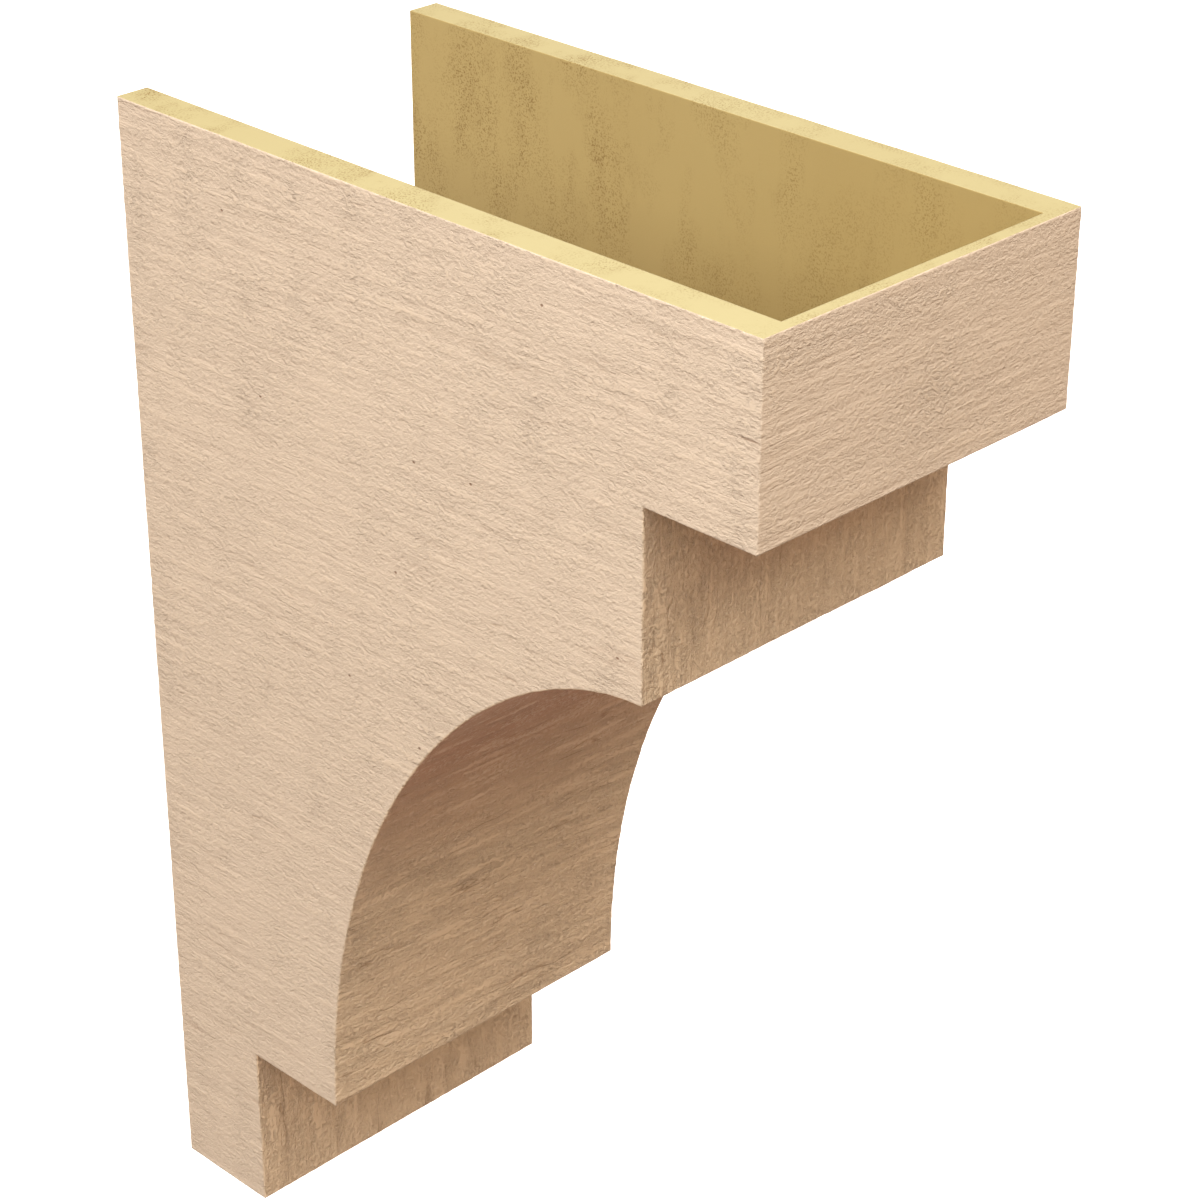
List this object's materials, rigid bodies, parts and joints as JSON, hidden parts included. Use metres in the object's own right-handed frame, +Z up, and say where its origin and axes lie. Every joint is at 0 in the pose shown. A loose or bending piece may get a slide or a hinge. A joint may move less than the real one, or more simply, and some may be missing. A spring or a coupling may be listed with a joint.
{
  "type": "stepped corbel",
  "caption": "Hollow stepped corbel with a concave cove, moulded in rigid foam with a rough-sawn wood face, open at back and top to fit over a wall block.",
  "frame": {"origin": "on the wall plane, in the middle of the width, at half the thickness of the floor's back edge", "axes": "+Z up, -Y out from the wall towards the front, +X to the right as seen from the front; X = 0 is the plane of symmetry"},
  "size_m": [0.2032, 0.4064, 0.6096],
  "materials": {
    "primed_foam": "matt tan primer over rough-sawn moulded foam, bare yellow foam on the rims and inside"
  },
  "bodies": {
    "root": {"corbel_shell": "primed_foam"}
  },
  "joints": []
}
